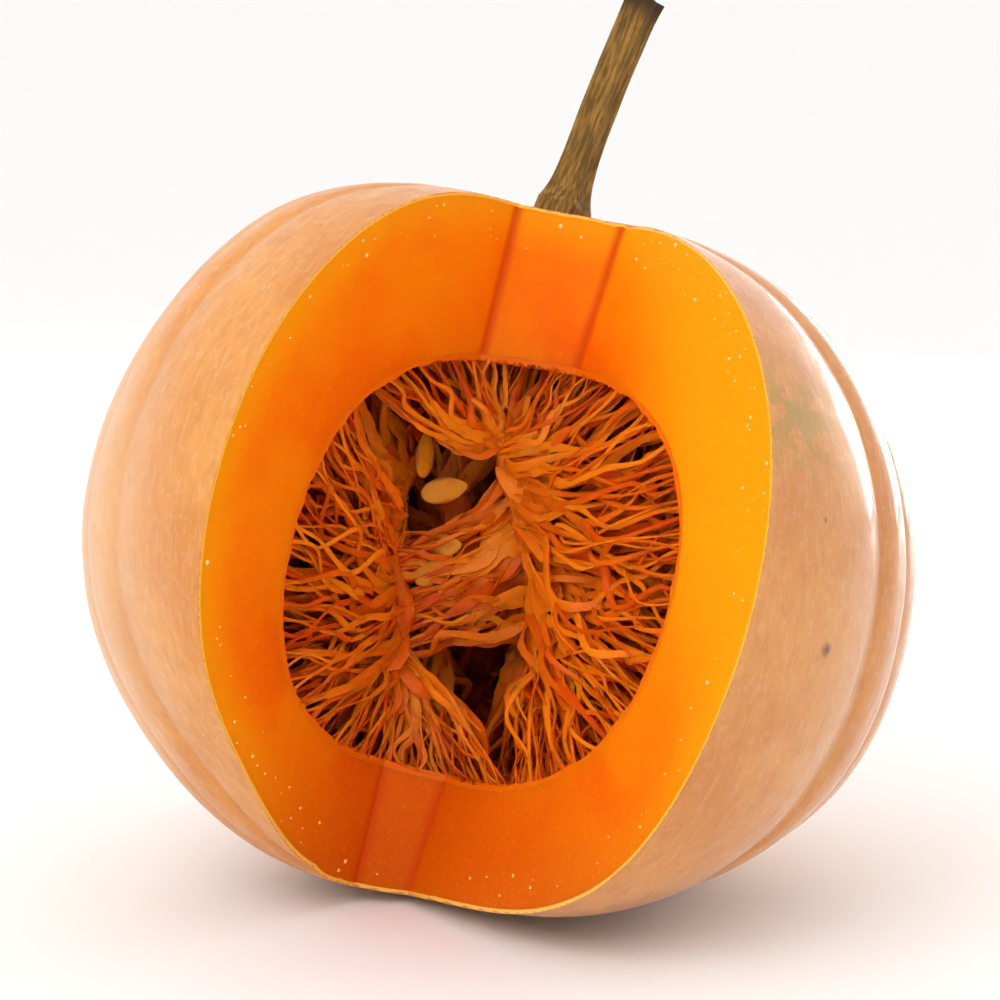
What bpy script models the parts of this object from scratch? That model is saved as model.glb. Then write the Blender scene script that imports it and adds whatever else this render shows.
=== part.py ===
"""A ribbed pumpkin with a wedge cut out of it, standing on its flattened underside.

Metres, +Z up, front along -Y.  The origin is under the middle of the whole object.
Azimuths are measured from the front, positive to the right.
"""
import math
import random

import bmesh
import bpy
from mathutils import Matrix, Vector

# Body: a slightly squat ball round its own leaning axis
BODY_RADIUS = 0.160
BODY_HALF_HEIGHT = 0.145
BODY_POWER = 2.02
LEAN_RIGHT = math.radians(9.0)
LEAN_BACK = math.radians(10.0)
STEM_DIMPLE = 0.014
STEM_DIMPLE_SPREAD = math.radians(28.6)
BLOSSOM_DIMPLE = 0.008
BLOSSOM_DIMPLE_SPREAD = math.radians(28.6)

# Swells that make the body lopsided: azimuth, elevation (degrees), height
SWELL_SPREAD = 0.45
SWELLS = (
    (90, 15, 0.0031),
    (90, 50, 0.0015),
    (90, -25, 0.0067),
    (90, -60, -0.0076),
    (-90, 55, 0.0069),
    (-90, 20, -0.0039),
    (-90, -30, -0.0018),
    (-90, -65, 0.0049),
    (-42, -5, -0.0035),
    (-42, -45, -0.0130),
    (38, -45, 0.0100),
)

# Grooves between the lobes: azimuth (degrees) and depth
GROOVES = (
    (-158, 0.0028),
    (-134, 0.0030),
    (-112, 0.0030),
    (-92, 0.0026),
    (-76, 0.0016),
    (-63, 0.0030),
    (-30, 0.0020),
    (0, 0.0024),
    (30, 0.0020),
    (65, 0.0034),
    (77, 0.0032),
    (92, 0.0026),
    (112, 0.0030),
    (134, 0.0030),
    (157, 0.0028),
    (180, 0.0026),
)
GROOVE_SHARPNESS = 1.6
STEPS_PER_LOBE = 4
BODY_RINGS = 22

# Skin, flesh and the flat patch that the pumpkin stands on
RIND_THICKNESS = 0.0018
GAP = 0.0003
CENTRE_HEIGHT = 0.1358

# Seed cavity, set a little off the middle of the body
CAVITY_CENTRE = Vector((0.0035, -0.0041, -0.0090))
CAVITY_RADIUS = 0.1086
CAVITY_HALF_HEIGHT = 0.083
CAVITY_POWER = 2.3
CAVITY_MERIDIANS = 28
CAVITY_RINGS = 14

# Three flat knife cuts: a narrow one at the back and a wide one on each side
BACK_CUT_Y = -0.0072
BACK_CUT_LEAN = math.radians(7.35)
LEFT_CUT_X = -0.0211
LEFT_CUT_LEAN = math.radians(13.6)
LEFT_CUT_AZIMUTH = math.radians(-37.7)
RIGHT_CUT_X = 0.0109
RIGHT_CUT_LEAN = math.radians(18.0)
RIGHT_CUT_AZIMUTH = math.radians(33.1)
CUT_REACH = 0.4
CUT_HALF_HEIGHT = 0.25

# Dry stem
STEM_LENGTH = 0.086
STEM_ROOT = 0.010
STEM_RADIUS = 0.0070
STEM_BASE_FLARE = 0.0040
STEM_BASE_FADE = 0.007
STEM_END_FLARE = 0.0008
STEM_END_FADE = 0.006
STEM_RIDGES = 5
STEM_RIDGE_HEIGHT = 0.0009
STEM_SIDES = 20
STEM_RINGS = 12
STEM_FOOT = Vector((0.0285, 0.0262, 0.1305))
STEM_LEAN_RIGHT = math.radians(21.5)
STEM_LEAN_BACK = math.radians(9.0)
STEM_BOW = 0.0012

# Pulp: a thin lining, lumpy cores and the strands that join them
LINING_THICKNESS = 0.0030
CORE_AZIMUTHS = (-112, -152, 158, 116, 76)
CORE_DISTANCE = 0.044
CORE_RADIUS = 0.0085
CORE_HALF_HEIGHT = 0.036
CORE_SIDES = 8
CORE_WANDER = 0.006
CORE_BULGES = 0.25
CORE_WAISTS = 0.2
CORE_STRAND_HEIGHT = 0.85
STRANDS_PER_CORE = 11
STRAND_POLAR = (22, 158)
STRAND_POLAR_JITTER = 5
STRAND_FAN = 34
STRAND_START_JITTER = 0.08
STRAND_RADIUS = (0.0007, 0.0012)
STRAND_SPANS = 4
STRAND_CHECKS = 10 * STRAND_SPANS + 1
STRAND_SAG = 0.006
STRAND_SAG_RANGE = (-0.6, 1.3)
STRAND_SWAY = 0.006
STRAND_ROOT_DEPTH = 0.0024
WELD = 0.00003
STRAND_CLEARANCE = 0.0022

# Seeds, each in its own pocket in the pulp
SEED_LENGTH = 0.0185
SEED_WIDTH = 0.0106
SEED_THICKNESS = 0.0032
SEED_TAPER = 0.32
SEED_SEGMENTS = 8
SEED_RINGS = 6
WALL_SEED_COUNT = 22
CORE_SEED_HEIGHTS = (0.45, -0.35)
CORE_SEED_SPREAD = math.radians(84)
CORE_SEED_TIP = 0.0042
CORE_SEED_TWIST = 0.3
SEED_SPACING = 0.021
SEED_CUT_MARGIN = 0.002
SEED_TIP_DEPTH = 0.0022
SEED_RISE = (math.radians(24), math.radians(62))
SEED_TWIST = 40
SEED_HEIGHTS = (-0.75, 0.8)

RANDOM_SEED = 7
SHARP_ANGLE = math.radians(35)


def clear_scene():
    for old in list(bpy.data.objects):
        bpy.data.objects.remove(old, do_unlink=True)


def new_collection(name):
    collection = bpy.data.collections.new(name)
    bpy.context.scene.collection.children.link(collection)
    return collection


def material(name, colour, roughness):
    made = bpy.data.materials.new(name)
    made.use_nodes = True
    shader = made.node_tree.nodes["Principled BSDF"]
    shader.inputs["Base Color"].default_value = (*colour, 1.0)
    shader.inputs["Roughness"].default_value = roughness
    shader.inputs["Metallic"].default_value = 0.0
    made.diffuse_color = (*colour, 1.0)
    return made


def object_from(bm, name, collection, parent):
    mesh = bpy.data.meshes.new(name)
    bm.to_mesh(mesh)
    bm.free()
    made = bpy.data.objects.new(name, mesh)
    made.parent = parent
    collection.objects.link(made)
    return made


def as_cutter(piece):
    piece.hide_render = True
    piece.display_type = 'WIRE'
    return piece


def add_cut(piece, cutter, solver='EXACT'):
    cut = piece.modifiers.new(cutter.name, 'BOOLEAN')
    cut.operation = 'DIFFERENCE'
    cut.object = cutter
    cut.solver = solver


def apply_modifiers(piece):
    bpy.context.view_layer.update()
    graph = bpy.context.evaluated_depsgraph_get()
    mesh = bpy.data.meshes.new_from_object(piece.evaluated_get(graph), depsgraph=graph)
    piece.modifiers.clear()
    piece.data = mesh


# Shape of the body


def direction(azimuth, polar):
    """Unit vector at an azimuth from the front and a polar angle from the top."""
    across = math.sin(polar)
    return Vector((across * math.sin(azimuth), -across * math.cos(azimuth), math.cos(polar)))


AXIS_TILT = Matrix.Rotation(-LEAN_BACK, 3, 'X') @ Matrix.Rotation(LEAN_RIGHT, 3, 'Y')


def groove_relief(turn):
    """Azimuth and depth of the rind's relief, where turn runs 0 to 1 round the lobes."""
    place = (turn * len(GROOVES)) % len(GROOVES)
    lobe = int(place)
    across = place - lobe
    start, start_depth = GROOVES[lobe]
    end, end_depth = GROOVES[(lobe + 1) % len(GROOVES)]
    width = (end - start) % 360
    depth = start_depth if across < 0.5 else end_depth
    relief = depth * (1.0 - math.sin(math.pi * across)) ** GROOVE_SHARPNESS
    return math.radians(start + across * width), relief


def super_radius(point_direction, radius, half_height, power):
    across = math.hypot(point_direction.x, point_direction.y) / radius
    along = abs(point_direction.z) / half_height
    return (across ** power + along ** power) ** (-1.0 / power)


def body_radius(point_direction):
    """Distance from the body's centre to the crowns of its lobes."""
    distance = super_radius(point_direction, BODY_RADIUS, BODY_HALF_HEIGHT, BODY_POWER)
    for azimuth, elevation, height in SWELLS:
        swell = direction(math.radians(azimuth), math.radians(90 - elevation))
        distance += height * math.exp(-(point_direction.angle(swell) / SWELL_SPREAD) ** 2)
    polar = math.acos(max(-1.0, min(1.0, point_direction.z)))
    distance -= STEM_DIMPLE * math.exp(-(polar / STEM_DIMPLE_SPREAD) ** 2)
    distance -= BLOSSOM_DIMPLE * math.exp(-((math.pi - polar) / BLOSSOM_DIMPLE_SPREAD) ** 2)
    return distance


def unit_ball(meridians, rings):
    """A ball whose faces are split alike on every copy, so that nested balls stay clear."""
    bm = bmesh.new()
    bmesh.ops.create_uvsphere(bm, u_segments=meridians, v_segments=rings, radius=1.0)
    bmesh.ops.triangulate(bm, faces=bm.faces, quad_method='FIXED')
    return bm


def body_ball(name, depth, collection, parent):
    """The body's outer form, moved inwards by depth, with a flat patch to stand on."""
    meridians = len(GROOVES) * STEPS_PER_LOBE
    bm = unit_ball(meridians, BODY_RINGS)
    for vert in bm.verts:
        polar = math.acos(max(-1.0, min(1.0, vert.co.z)))
        step = round(math.atan2(vert.co.y, vert.co.x) / (2 * math.pi) * meridians)
        azimuth, relief = groove_relief((step % meridians) / meridians)
        outward = direction(azimuth, polar)
        distance = body_radius(outward) - relief * math.sin(polar) - depth
        vert.co = AXIS_TILT @ (outward * distance)
        vert.co.z = max(vert.co.z, depth - CENTRE_HEIGHT)
    return object_from(bm, name, collection, parent)


def cavity_point(azimuth, polar, depth):
    """Point under the cavity's wall, depth metres inwards."""
    outward = direction(azimuth, polar)
    distance = super_radius(outward, CAVITY_RADIUS, CAVITY_HALF_HEIGHT, CAVITY_POWER) - depth
    return CAVITY_CENTRE + AXIS_TILT @ (outward * distance)


def cavity_ball(name, depth, collection, parent):
    bm = unit_ball(CAVITY_MERIDIANS, CAVITY_RINGS)
    for vert in bm.verts:
        polar = math.acos(max(-1.0, min(1.0, vert.co.z)))
        azimuth = math.atan2(vert.co.x, -vert.co.y)
        vert.co = cavity_point(azimuth, polar, depth)
    return object_from(bm, name, collection, parent)


def wedge_cutter(collection, parent):
    """The wedge between the three knife cuts, out past the body's front."""
    bm = bmesh.new()
    bmesh.ops.create_cube(bm, size=2.0)
    for vert in bm.verts:
        height = CUT_HALF_HEIGHT * vert.co.z
        left = vert.co.x < 0
        x_at_centre = LEFT_CUT_X if left else RIGHT_CUT_X
        lean = LEFT_CUT_LEAN if left else RIGHT_CUT_LEAN
        azimuth = LEFT_CUT_AZIMUTH if left else RIGHT_CUT_AZIMUTH
        corner = Vector((
            x_at_centre + height * math.tan(lean),
            BACK_CUT_Y + height * math.tan(BACK_CUT_LEAN),
            height,
        ))
        if vert.co.y < 0:
            corner += CUT_REACH * Vector((math.sin(azimuth), -math.cos(azimuth), 0.0))
        vert.co = corner
    return as_cutter(object_from(bm, "wedge_cutter", collection, parent))


# Stem


def stem_frame():
    lean = Matrix.Rotation(-STEM_LEAN_BACK, 3, 'X') @ Matrix.Rotation(STEM_LEAN_RIGHT, 3, 'Y')
    return Matrix.Translation(STEM_FOOT) @ lean.to_4x4()


def stem_ball(name, extra, collection, parent):
    """A ridged, slightly bowed stem, widened by extra all round and at its root."""
    bm = bmesh.new()
    bmesh.ops.create_cone(bm, cap_ends=True, cap_tris=False, segments=STEM_SIDES,
                          radius1=1.0, radius2=1.0, depth=1.0)
    for ring in range(1, STEM_RINGS):
        height = ring / STEM_RINGS - 0.5
        everything = bm.verts[:] + bm.edges[:] + bm.faces[:]
        bmesh.ops.bisect_plane(bm, geom=everything, plane_co=(0, 0, height), plane_no=(0, 0, 1))
    for vert in bm.verts:
        share = vert.co.z + 0.5
        along = share * (STEM_LENGTH + STEM_ROOT) - STEM_ROOT
        around = math.atan2(vert.co.y, vert.co.x)
        above = max(along, 0.0)
        flare = STEM_BASE_FLARE * math.exp(-above / STEM_BASE_FADE)
        flare += STEM_END_FLARE * math.exp(-(STEM_LENGTH - along) / STEM_END_FADE)
        ridge = STEM_RIDGE_HEIGHT * math.cos(STEM_RIDGES * around)
        wide = STEM_RADIUS + flare + ridge + extra
        bow = STEM_BOW * math.sin(math.pi * above / STEM_LENGTH)
        bottom = extra if share < 0.01 else 0.0
        vert.co = Vector((wide * math.cos(around) - bow, wide * math.sin(around), along - bottom))
    bmesh.ops.transform(bm, matrix=stem_frame(), verts=bm.verts)
    return object_from(bm, name, collection, parent)


# Pulp


def mesh_from_curve(curve_object):
    bpy.context.view_layer.update()
    graph = bpy.context.evaluated_depsgraph_get()
    mesh = bpy.data.meshes.new_from_object(curve_object.evaluated_get(graph))
    bm = bmesh.new()
    bm.from_mesh(mesh)
    bmesh.ops.remove_doubles(bm, verts=bm.verts, dist=0.00001)
    bmesh.ops.recalc_face_normals(bm, faces=bm.faces)
    bm.to_mesh(mesh)
    bm.free()
    return mesh


def strand(name, points, radius, collection, parent):
    curve = bpy.data.curves.new(name, 'CURVE')
    curve.dimensions = '3D'
    curve.bevel_depth = radius
    curve.bevel_resolution = 0
    curve.use_fill_caps = True
    spline = curve.splines.new('POLY')
    spline.points.add(len(points) - 1)
    for knot, point in zip(spline.points, points):
        knot.co = (*point, 1.0)
    guide = bpy.data.objects.new(name + "_guide", curve)
    collection.objects.link(guide)
    made = bpy.data.objects.new(name, mesh_from_curve(guide))
    made.parent = parent
    collection.objects.link(made)
    bpy.data.objects.remove(guide, do_unlink=True)
    return made


def core_point(azimuth, height):
    """Point on a core's middle line; height runs -1 to 1."""
    distance = CORE_DISTANCE + CORE_WANDER * math.sin(2.4 * height + azimuth * 3.0)
    out = Vector((distance * math.sin(azimuth), -distance * math.cos(azimuth), 0.0))
    return CAVITY_CENTRE + AXIS_TILT @ (out + Vector((0.0, 0.0, CORE_HALF_HEIGHT * height)))


def core(index, azimuth, collection, parent):
    """A knobby upright lump that its strands run to."""
    bm = bmesh.new()
    bmesh.ops.create_uvsphere(bm, u_segments=CORE_SIDES, v_segments=CORE_SIDES, radius=1.0)
    for vert in bm.verts:
        height = vert.co.z
        around = math.atan2(vert.co.y, vert.co.x)
        lump = 1.0 + CORE_BULGES * math.sin(3 * around + 4 * height + index)
        lump += CORE_WAISTS * math.sin(9 * height + 2 * index)
        side = Vector((vert.co.x, vert.co.y, 0.0)) * CORE_RADIUS * lump
        vert.co = core_point(azimuth, height) + AXIS_TILT @ side
    return object_from(bm, f"core_{index}", collection, parent)


def strand_path(core_azimuth, share, rng, count):
    """Points from a core out to the cavity's wall, sagging and swaying a little."""
    top, bottom = STRAND_POLAR
    jitter = rng.uniform(-STRAND_POLAR_JITTER, STRAND_POLAR_JITTER)
    polar = math.radians(top + (bottom - top) * share + jitter)
    root_azimuth = core_azimuth + math.radians(rng.uniform(-STRAND_FAN, STRAND_FAN))
    root = cavity_point(root_azimuth, polar, STRAND_ROOT_DEPTH)
    height = CORE_STRAND_HEIGHT * math.cos(polar)
    height += rng.uniform(-STRAND_START_JITTER, STRAND_START_JITTER)
    start = core_point(core_azimuth, height)
    sag = STRAND_SAG * rng.uniform(*STRAND_SAG_RANGE)
    sway = STRAND_SWAY * rng.uniform(-1, 1)
    side = (root - start).cross(Vector((0, 0, 1))).normalized()
    points = []
    for step in range(count):
        along = step / (count - 1)
        point = start.lerp(root, along)
        point -= Vector((0, 0, sag * math.sin(math.pi * along)))
        points.append(point + side * sway * math.sin(2 * math.pi * along))
    return points


def clear_of_seeds(points, places):
    sizes = (SEED_WIDTH, SEED_THICKNESS, SEED_LENGTH)
    reach = [size / 2 + STRAND_CLEARANCE for size in sizes]
    for point in points:
        for spot, turn in places:
            local = turn.transposed() @ (point - spot)
            if sum((local[axis] / reach[axis]) ** 2 for axis in range(3)) < 1.0:
                return False
    return True


def core_strands(index, azimuth, places, rng, collection, parent):
    """Strands that fan from a core to the cavity's wall, between the seeds."""
    for number in range(STRANDS_PER_CORE):
        share = (number + 0.5) / STRANDS_PER_CORE
        points = strand_path(azimuth, share, rng, STRAND_CHECKS)
        while not clear_of_seeds(points, places):
            points = strand_path(azimuth, share, rng, STRAND_CHECKS)
        knots = points[::STRAND_CHECKS // STRAND_SPANS]
        strand(f"strand_{index}_{number}", knots, rng.uniform(*STRAND_RADIUS), collection, parent)


def keep_largest_body(piece):
    """Drop the scraps that the knife left loose or held by one edge only."""
    bm = bmesh.new()
    bm.from_mesh(piece.data)
    bmesh.ops.remove_doubles(bm, verts=bm.verts, dist=WELD)
    bmesh.ops.dissolve_degenerate(bm, edges=bm.edges, dist=WELD)
    unseen = set(bm.faces)
    bodies = []
    while unseen:
        found = [unseen.pop()]
        body = set(found)
        while found:
            for edge in found.pop().edges:
                for face in edge.link_faces if edge.is_manifold else ():
                    if face in unseen:
                        unseen.discard(face)
                        body.add(face)
                        found.append(face)
        bodies.append(body)
    largest = max(bodies, key=len)
    loose = [face for body in bodies if body is not largest for face in body]
    bmesh.ops.delete(bm, geom=loose, context='FACES')
    bm.to_mesh(piece.data)
    bm.free()


def cut_with(piece, cutters, operation):
    """Join or cut a piece with every object of a collection, then apply it."""
    change = piece.modifiers.new(cutters.name, 'BOOLEAN')
    change.operand_type = 'COLLECTION'
    change.collection = cutters
    change.operation = operation
    change.solver = 'MANIFOLD'
    apply_modifiers(piece)


def empty_collection(collection):
    for used in list(collection.objects):
        bpy.data.objects.remove(used, do_unlink=True)
    bpy.data.collections.remove(collection)


def make_pulp(wedge, places, pockets, collection, cutters, parent):
    rng = random.Random(RANDOM_SEED)
    pulp = cavity_ball("pulp", GAP, collection, parent)
    inside = as_cutter(cavity_ball("lining_cutter", GAP + LINING_THICKNESS, cutters, parent))
    add_cut(pulp, inside)
    apply_modifiers(pulp)
    web = new_collection("web")
    for index, degrees in enumerate(CORE_AZIMUTHS):
        azimuth = math.radians(degrees)
        core(index, azimuth, web, parent)
        core_strands(index, azimuth, places, rng, web, parent)
    cut_with(pulp, web, 'UNION')
    empty_collection(web)
    cut_with(pulp, pockets, 'DIFFERENCE')
    empty_collection(pockets)
    add_cut(pulp, wedge, 'MANIFOLD')
    apply_modifiers(pulp)
    keep_largest_body(pulp)
    return pulp


# Seeds


def seed_mesh(name, extra):
    """A flat, pointed seed along its own Z, its point at +Z, widened by extra."""
    bm = bmesh.new()
    bmesh.ops.create_uvsphere(bm, u_segments=SEED_SEGMENTS, v_segments=SEED_RINGS, radius=1.0)
    for vert in bm.verts:
        slim = 1.0 - SEED_TAPER * max(vert.co.z, 0.0)
        vert.co.x *= (SEED_WIDTH / 2 + extra) * slim
        vert.co.y *= (SEED_THICKNESS / 2 + extra) * slim
        vert.co.z *= SEED_LENGTH / 2 + extra
    bmesh.ops.recalc_face_normals(bm, faces=bm.faces)
    mesh = bpy.data.meshes.new(name)
    bm.to_mesh(mesh)
    bm.free()
    return mesh


def in_front_of_cuts(point, margin):
    """True where the knife would touch a piece of this half width."""
    left_x = LEFT_CUT_X + point.z * math.tan(LEFT_CUT_LEAN)
    right_x = RIGHT_CUT_X + point.z * math.tan(RIGHT_CUT_LEAN)
    back_y = BACK_CUT_Y + point.z * math.tan(BACK_CUT_LEAN)
    left = (point.x - left_x) * math.cos(LEFT_CUT_AZIMUTH)
    left += (point.y - back_y) * math.sin(LEFT_CUT_AZIMUTH)
    right = (right_x - point.x) * math.cos(RIGHT_CUT_AZIMUTH)
    right -= (point.y - back_y) * math.sin(RIGHT_CUT_AZIMUTH)
    return point.y < back_y + margin and left > -margin and right > -margin


def seed_place(tip, away, normal, twist):
    """Middle and turn of a seed from its tip, the way it points and its flat side."""
    flat = away.cross(normal).normalized()
    turn = Matrix((flat, away.cross(flat), away)).transposed()
    turn = turn @ Matrix.Rotation(math.pi, 3, 'Y') @ Matrix.Rotation(twist, 3, 'Z')
    return tip + away * SEED_LENGTH / 2, turn


def core_seed_places():
    """Two seeds on each core, one to either side, their flat sides to the middle."""
    places = []
    for azimuth in map(math.radians, CORE_AZIMUTHS):
        normal = AXIS_TILT @ -direction(azimuth, math.pi / 2)
        for side, height in zip((-1, 1), CORE_SEED_HEIGHTS):
            sideways = direction(azimuth + side * CORE_SEED_SPREAD, math.pi / 2 - 0.5 * height)
            away = AXIS_TILT @ sideways
            tip = core_point(azimuth, height) + away * CORE_SEED_TIP
            places.append(seed_place(tip, away, normal, CORE_SEED_TWIST * side))
    return places


def seed_places():
    """Spread more seeds over the wall, behind the cuts, each clear of the next."""
    rng = random.Random(RANDOM_SEED + 1)
    places = core_seed_places()
    count = len(places) + WALL_SEED_COUNT
    while len(places) < count:
        azimuth = math.radians(rng.uniform(-180, 180))
        polar = math.acos(rng.uniform(*SEED_HEIGHTS))
        tip = cavity_point(azimuth, polar, SEED_TIP_DEPTH)
        inward = (CAVITY_CENTRE - tip).normalized()
        along = inward.orthogonal().normalized()
        along.rotate(Matrix.Rotation(math.radians(rng.uniform(-180, 180)), 3, inward))
        rise = rng.uniform(*SEED_RISE)
        away = along * math.cos(rise) + inward * math.sin(rise)
        place = seed_place(tip, away, inward, math.radians(rng.uniform(-SEED_TWIST, SEED_TWIST)))
        if in_front_of_cuts(place[0], SEED_LENGTH / 2 + SEED_CUT_MARGIN):
            continue
        if all((place[0] - other).length > SEED_SPACING for other, turn in places):
            places.append(place)
    return places


def make_seeds(places, collection, pockets, parent, finish):
    mesh = seed_mesh("seed", 0.0)
    mesh.materials.append(finish)
    pocket_mesh = seed_mesh("seed_pocket", GAP)
    for number, (spot, turn) in enumerate(places, start=1):
        place = Matrix.Translation(spot) @ turn.to_4x4()
        for name, shape, home in ((f"seed_{number:02d}", mesh, collection),
                                  (f"pocket_{number:02d}", pocket_mesh, pockets)):
            piece = bpy.data.objects.new(name, shape)
            piece.parent = parent
            piece.matrix_local = place
            home.objects.link(piece)


def stand_on_origin(root, pieces):
    """Bring the middle of the whole object over the origin."""
    bpy.context.view_layer.update()
    graph = bpy.context.evaluated_depsgraph_get()
    corners = []
    for piece in pieces:
        shown = piece.evaluated_get(graph)
        corners += [shown.matrix_world @ vert.co for vert in shown.data.vertices]
    for axis in (0, 1):
        values = [corner[axis] for corner in corners]
        root.location[axis] -= (min(values) + max(values)) / 2


def main():
    clear_scene()
    parts = new_collection("pumpkin")
    cutters = new_collection("cutters")
    pockets = new_collection("pockets")
    root = bpy.data.objects.new("body_centre", None)
    root.location = (0.0, 0.0, CENTRE_HEIGHT)
    parts.objects.link(root)

    rind_finish = material("rind", (0.78, 0.42, 0.19), 0.42)
    flesh_finish = material("flesh", (0.95, 0.30, 0.01), 0.45)
    pulp_finish = material("pulp", (0.62, 0.10, 0.01), 0.50)
    stem_finish = material("stem", (0.26, 0.15, 0.06), 0.85)
    seed_finish = material("seed", (0.72, 0.36, 0.10), 0.40)

    wedge = wedge_cutter(cutters, root)
    stem = stem_ball("stem", 0.0, parts, root)
    socket = as_cutter(stem_ball("stem_socket", GAP, cutters, root))

    rind = body_ball("rind", 0.0, parts, root)
    add_cut(rind, as_cutter(body_ball("rind_cutter", RIND_THICKNESS, cutters, root)))
    flesh = body_ball("flesh", RIND_THICKNESS + GAP, parts, root)
    hollow = cavity_ball("cavity", 0.0, cutters, root)
    add_cut(flesh, as_cutter(hollow))
    for piece in (rind, flesh):
        add_cut(piece, socket)
        add_cut(piece, wedge)

    places = seed_places()
    make_seeds(places, parts, pockets, root, seed_finish)
    pulp = make_pulp(wedge, places, pockets, parts, cutters, root)
    finishes = ((rind, rind_finish), (flesh, flesh_finish), (pulp, pulp_finish), (stem, stem_finish))
    for piece, finish in finishes:
        piece.data.materials.clear()
        piece.data.materials.append(finish)
        piece.data.shade_smooth()
        piece.data.set_sharp_from_angle(angle=SHARP_ANGLE)
    stand_on_origin(root, [piece for piece in parts.objects if piece.type == 'MESH'])


main()
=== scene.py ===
"""Looks of a ribbed pumpkin with a wedge cut out, standing on a pale floor.

Metres, +Z up, front along -Y.  Points of the body are first worked out from its own centre.
Azimuths are measured from the front, positive to the right.
"""
import math
import random

import bmesh
import bpy
import numpy as np
from mathutils import Matrix, Vector, noise
from mathutils.kdtree import KDTree


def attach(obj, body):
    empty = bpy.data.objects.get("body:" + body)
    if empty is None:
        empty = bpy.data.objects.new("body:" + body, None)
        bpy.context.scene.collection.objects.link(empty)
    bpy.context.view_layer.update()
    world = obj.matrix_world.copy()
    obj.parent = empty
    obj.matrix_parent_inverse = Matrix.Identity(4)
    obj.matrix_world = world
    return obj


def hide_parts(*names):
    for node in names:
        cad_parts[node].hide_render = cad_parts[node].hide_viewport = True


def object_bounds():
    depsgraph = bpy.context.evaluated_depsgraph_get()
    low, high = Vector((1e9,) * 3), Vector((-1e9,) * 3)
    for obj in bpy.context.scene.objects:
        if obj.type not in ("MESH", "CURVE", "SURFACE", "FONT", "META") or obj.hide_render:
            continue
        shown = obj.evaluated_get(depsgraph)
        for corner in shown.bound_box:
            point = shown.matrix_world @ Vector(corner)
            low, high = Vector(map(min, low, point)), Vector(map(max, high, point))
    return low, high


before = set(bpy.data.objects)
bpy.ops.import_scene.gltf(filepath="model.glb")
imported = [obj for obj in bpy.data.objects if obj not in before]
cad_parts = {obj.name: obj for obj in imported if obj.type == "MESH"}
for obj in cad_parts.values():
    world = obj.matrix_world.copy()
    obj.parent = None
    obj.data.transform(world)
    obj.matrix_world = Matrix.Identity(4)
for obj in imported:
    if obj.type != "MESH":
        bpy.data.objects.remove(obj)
cad_low, cad_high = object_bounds()

# Body, as the construction has it
BODY_CENTRE = np.array((-0.00329, -0.01215, 0.1358))
BODY_RADIUS = 0.160
BODY_HALF_HEIGHT = 0.145
BODY_POWER = 2.02
LEAN_RIGHT = math.radians(9.0)
LEAN_BACK = math.radians(10.0)
STEM_DIMPLE = 0.014
BLOSSOM_DIMPLE = 0.008
DIMPLE_SPREAD = math.radians(28.6)
SWELL_SPREAD = 0.45
SWELLS = (
    (90, 15, 0.0031),
    (90, 50, 0.0015),
    (90, -25, 0.0067),
    (90, -60, -0.0076),
    (-90, 55, 0.0069),
    (-90, 20, -0.0039),
    (-90, -30, -0.0018),
    (-90, -65, 0.0049),
    (-42, -5, -0.0035),
    (-42, -45, -0.0130),
    (38, -45, 0.0100),
)
GROOVES = (
    (-158, 0.0028),
    (-134, 0.0030),
    (-112, 0.0030),
    (-92, 0.0026),
    (-76, 0.0016),
    (-63, 0.0030),
    (-30, 0.0020),
    (0, 0.0024),
    (30, 0.0020),
    (65, 0.0034),
    (77, 0.0032),
    (92, 0.0026),
    (112, 0.0030),
    (134, 0.0030),
    (157, 0.0028),
    (180, 0.0026),
)
GROOVE_SHARPNESS = 1.6
RIND_THICKNESS = 0.0018
SKIN_INSET = 0.00004
SKIN_DENT = 0.00035
SKIN_RIPPLE = 0.00012
SMOOTH_BELOW = math.radians(150)
SMOOTH_FADE = math.radians(20)
RIM_START = 0.0010
RIM_STRETCH = 2.2
SMOOTH_ANGLE = math.radians(40)
STEPS_PER_LOBE = 24
SKIN_RINGS = 180
INNER_STEPS_PER_LOBE = 16
INNER_RINGS = 96

# Seed cavity
CAVITY_CENTRE = np.array((0.0035, -0.0041, -0.0090))
CAVITY_RADIUS = 0.1086
CAVITY_HALF_HEIGHT = 0.083
CAVITY_POWER = 2.3
CAVITY_MERIDIANS = 320
CAVITY_RINGS = 150
CAVITY_ROUGHNESS = 0.0003
LINING_THICKNESS = 0.0030
LINING_NET = 0.0016
LINING_RECESS = 0.0002
LINING_CLEARANCE = 0.00003
# How far the painted light along the lining's cut edge reaches
LINING_EDGE_FADE = 0.0012

# Knife cuts
BACK_CUT_Y = -0.0072
BACK_CUT_LEAN = math.radians(7.35)
LEFT_CUT_X = -0.0211
LEFT_CUT_LEAN = math.radians(13.6)
LEFT_CUT_AZIMUTH = math.radians(-37.7)
RIGHT_CUT_X = 0.0109
RIGHT_CUT_LEAN = math.radians(18.0)
RIGHT_CUT_AZIMUTH = math.radians(33.1)
CUT_REACH = 0.22
CUT_HALF_HEIGHT = 0.17
CUT_STEP = 0.0014
CUT_WAVE = 0.00035
CUT_WAVE_SCALE = 28
CUT_GRAIN = 0.00010
CUT_GRAIN_SCALE = 420
CORNER_FADE = 0.003
FRONT_FADE = 0.012

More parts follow.
